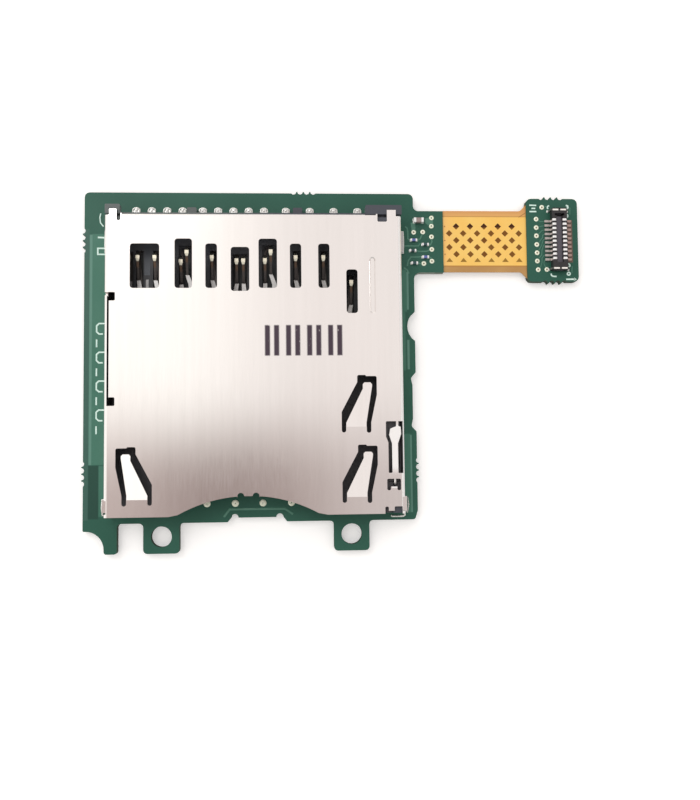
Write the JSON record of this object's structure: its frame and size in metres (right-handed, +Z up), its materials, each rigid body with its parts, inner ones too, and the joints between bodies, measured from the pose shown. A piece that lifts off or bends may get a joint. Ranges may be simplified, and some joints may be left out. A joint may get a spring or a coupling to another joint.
{
  "type": "sd card reader board",
  "caption": "Circuit board with a push-push memory card socket, joined by a flexible film tail to a small board with a board-to-board connector.",
  "frame": {"origin": "centre of the bounding box in X and Y, on the undersides of the two boards", "axes": "+X from the card socket along the tail to the plug board, +Y the way a card is pushed in, +Z up out of the boards"},
  "size_m": [0.0456, 0.0328, 0.0036],
  "materials": {
    "board_green": "green solder mask over glass-epoxy laminate",
    "amber_film": "amber polyimide film over hatched copper",
    "nickel_sheet": "nickel-plated rolled sheet",
    "black_plastic": "moulded, fine texture",
    "spring_steel": "drawn wire",
    "gold_plate": "gold-plated copper alloy",
    "ceramic": "ceramic body with tinned end caps"
  },
  "bodies": {
    "board": {"main_board": "board_green", "connector_board": "board_green", "flex_tail": "amber_film", "socket_shell": "nickel_sheet", "socket_housing": "black_plastic", "eject_spring": "spring_steel", "card_contact_1": "gold_plate", "card_contact_2": "gold_plate", "card_contact_3": "gold_plate", "card_contact_4": "gold_plate", "card_contact_5": "gold_plate", "card_contact_6": "gold_plate", "card_contact_7": "gold_plate", "card_contact_8": "gold_plate", "card_contact_9": "gold_plate", "detect_contact_a": "gold_plate", "detect_contact_b": "gold_plate", "protect_contact_a": "gold_plate", "protect_contact_b": "gold_plate", "plug_housing": "black_plastic", "plug_nail_rear": "nickel_sheet", "plug_nail_front": "nickel_sheet", "plug_contact_01": "gold_plate", "plug_contact_02": "gold_plate", "plug_contact_03": "gold_plate", "plug_contact_04": "gold_plate", "plug_contact_05": "gold_plate", "plug_contact_06": "gold_plate", "plug_contact_07": "gold_plate", "plug_contact_08": "gold_plate", "plug_contact_09": "gold_plate", "plug_contact_10": "gold_plate", "plug_contact_11": "gold_plate", "plug_contact_12": "gold_plate", "plug_contact_13": "gold_plate", "plug_contact_14": "gold_plate", "plug_contact_15": "gold_plate", "plug_contact_16": "gold_plate", "plug_contact_17": "gold_plate", "plug_contact_18": "gold_plate", "plug_contact_19": "gold_plate", "plug_contact_20": "gold_plate", "capacitor": "ceramic", "chip_1": "ceramic", "chip_2": "ceramic", "chip_3": "ceramic", "chip_4": "ceramic", "chip_5": "ceramic"},
    "slide": {"slider": "black_plastic"},
    "cam": {"cam_pin": "spring_steel"}
  },
  "joints": [
    {"name": "slider_slide", "type": "slide", "parent": "board", "child": "slide", "axis": [0, 1, 0], "range_m": [0, 0.004], "stiffness_N_per_m": 200, "springref_m": -0.002, "deforming": ["eject_spring"]},
    {"name": "cam_pin_turn", "type": "hinge", "parent": "board", "child": "cam", "pos_m": [0.00504, -0.01046, 0.0031], "axis": [0, 0, 1], "range_deg": [0, 5]}
  ],
  "couplings": [
    {"joint": "cam_pin_turn", "follows": "slider_slide", "rad_per_m": 15.6}
  ]
}
